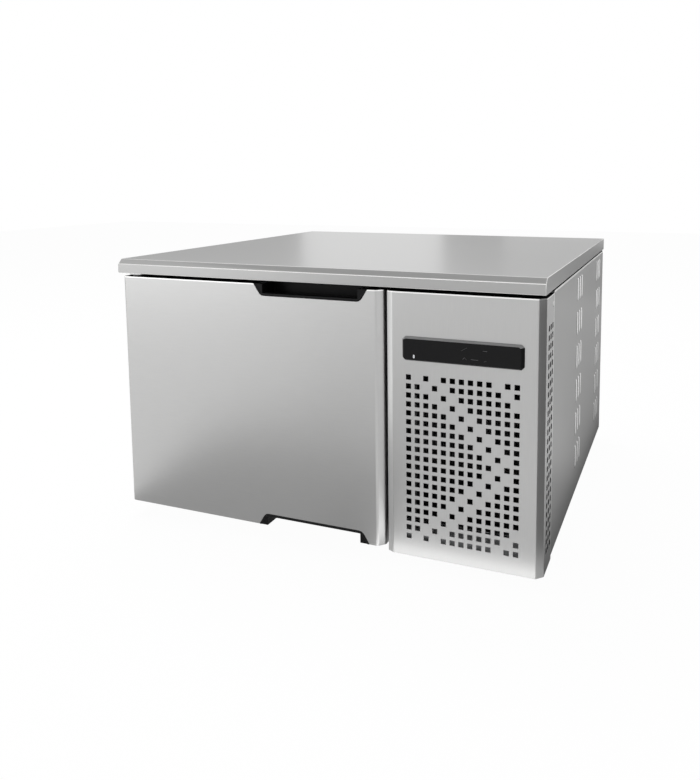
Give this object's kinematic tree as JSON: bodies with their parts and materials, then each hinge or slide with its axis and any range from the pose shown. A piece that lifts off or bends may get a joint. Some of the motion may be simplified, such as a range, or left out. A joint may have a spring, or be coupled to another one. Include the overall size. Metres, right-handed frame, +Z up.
{
  "type": "blast chiller",
  "caption": "Low counter blast chiller: insulated chamber behind a side-hinged steel door, condensing unit behind a perforated panel, one worktop.",
  "frame": {"origin": "on the floor, under the centre of the worktop's outline", "axes": "+X to the right, +Y to the back, +Z up; the door and the perforated panel face -Y"},
  "size_m": [0.75, 0.7, 0.468],
  "materials": {
    "stainless": "fine brushed",
    "plain_steel": "satin",
    "galvanised": "dull zinc",
    "aluminium_fins": "satin",
    "aluminium_sheet": "satin",
    "copper": "bright copper",
    "insulation": "rigid foam",
    "filler": "board",
    "black_plastic": "satin",
    "black_gloss": "gloss",
    "grey_plastic": "satin",
    "grey_rubber": "matte",
    "black_rubber": "matte",
    "black_paint": "semi-gloss"
  },
  "bodies": {
    "cabinet": {"worktop": "stainless", "worktop_core": "filler", "left_side_panel": "stainless", "right_side_panel": "stainless", "rear_panel": "galvanised", "base_pan": "galvanised", "divider_panel": "galvanised", "compartment_rail": "galvanised", "cord_bush": "black_plastic", "foot_front_left": "plain_steel", "foot_front_right": "plain_steel", "foot_rear_left": "plain_steel", "foot_rear_right": "plain_steel", "cell_foam": "insulation", "chamber_liner": "plain_steel", "front_frame": "stainless", "drain_fitting": "grey_plastic", "door_switch": "grey_plastic", "upper_hinge_bracket": "plain_steel", "lower_hinge_bracket": "plain_steel", "upper_hinge_pin": "plain_steel", "lower_hinge_pin": "plain_steel", "grille_panel": "stainless", "side_screw": "plain_steel", "controller_bezel": "black_plastic", "controller_window": "black_gloss", "controller_module": "black_plastic", "tray_rack_left": "plain_steel", "tray_rack_right": "plain_steel", "fan_baffle": "plain_steel", "fan_guard": "plain_steel", "evaporator_fan_motor": "black_paint", "evaporator_fan_bracket": "plain_steel", "evaporator_coil": "aluminium_fins", "unit_tray": "galvanised", "condenser_coil": "aluminium_fins", "condenser_shroud": "galvanised", "condenser_fan_motor": "black_paint", "condenser_fan_bracket": "galvanised", "compressor": "black_paint", "compressor_mount_1": "black_rubber", "compressor_mount_2": "black_rubber", "compressor_mount_3": "black_rubber", "compressor_mount_4": "black_rubber", "filter_drier": "copper", "discharge_line": "copper", "condensate_line": "copper", "liquid_line": "copper", "suction_line": "copper", "electrical_box": "grey_plastic"},
    "door": {"door_skin": "stainless", "door_foam": "insulation", "door_liner": "plain_steel", "door_gasket": "grey_rubber", "upper_handle": "black_plastic", "lower_handle": "black_plastic", "upper_hinge_bush": "grey_plastic", "lower_hinge_bush": "grey_plastic"},
    "evaporator_fan": {"evaporator_fan_blade": "black_plastic"},
    "condenser_fan": {"condenser_fan_blade": "aluminium_sheet"}
  },
  "joints": [
    {"name": "door_hinge", "type": "hinge", "parent": "cabinet", "child": "door", "pos_m": [-0.3575, -0.32, 0.232], "axis": [0, 0, -1], "range_deg": [0, 110]},
    {"name": "evaporator_fan_spin", "type": "hinge", "parent": "cabinet", "child": "evaporator_fan", "pos_m": [-0.124, 0.094, 0.243], "axis": [0, 1, 0], "continuous": true},
    {"name": "condenser_fan_spin", "type": "hinge", "parent": "cabinet", "child": "condenser_fan", "pos_m": [0.24875, -0.1817, 0.1691], "axis": [0, 1, 0], "continuous": true}
  ]
}
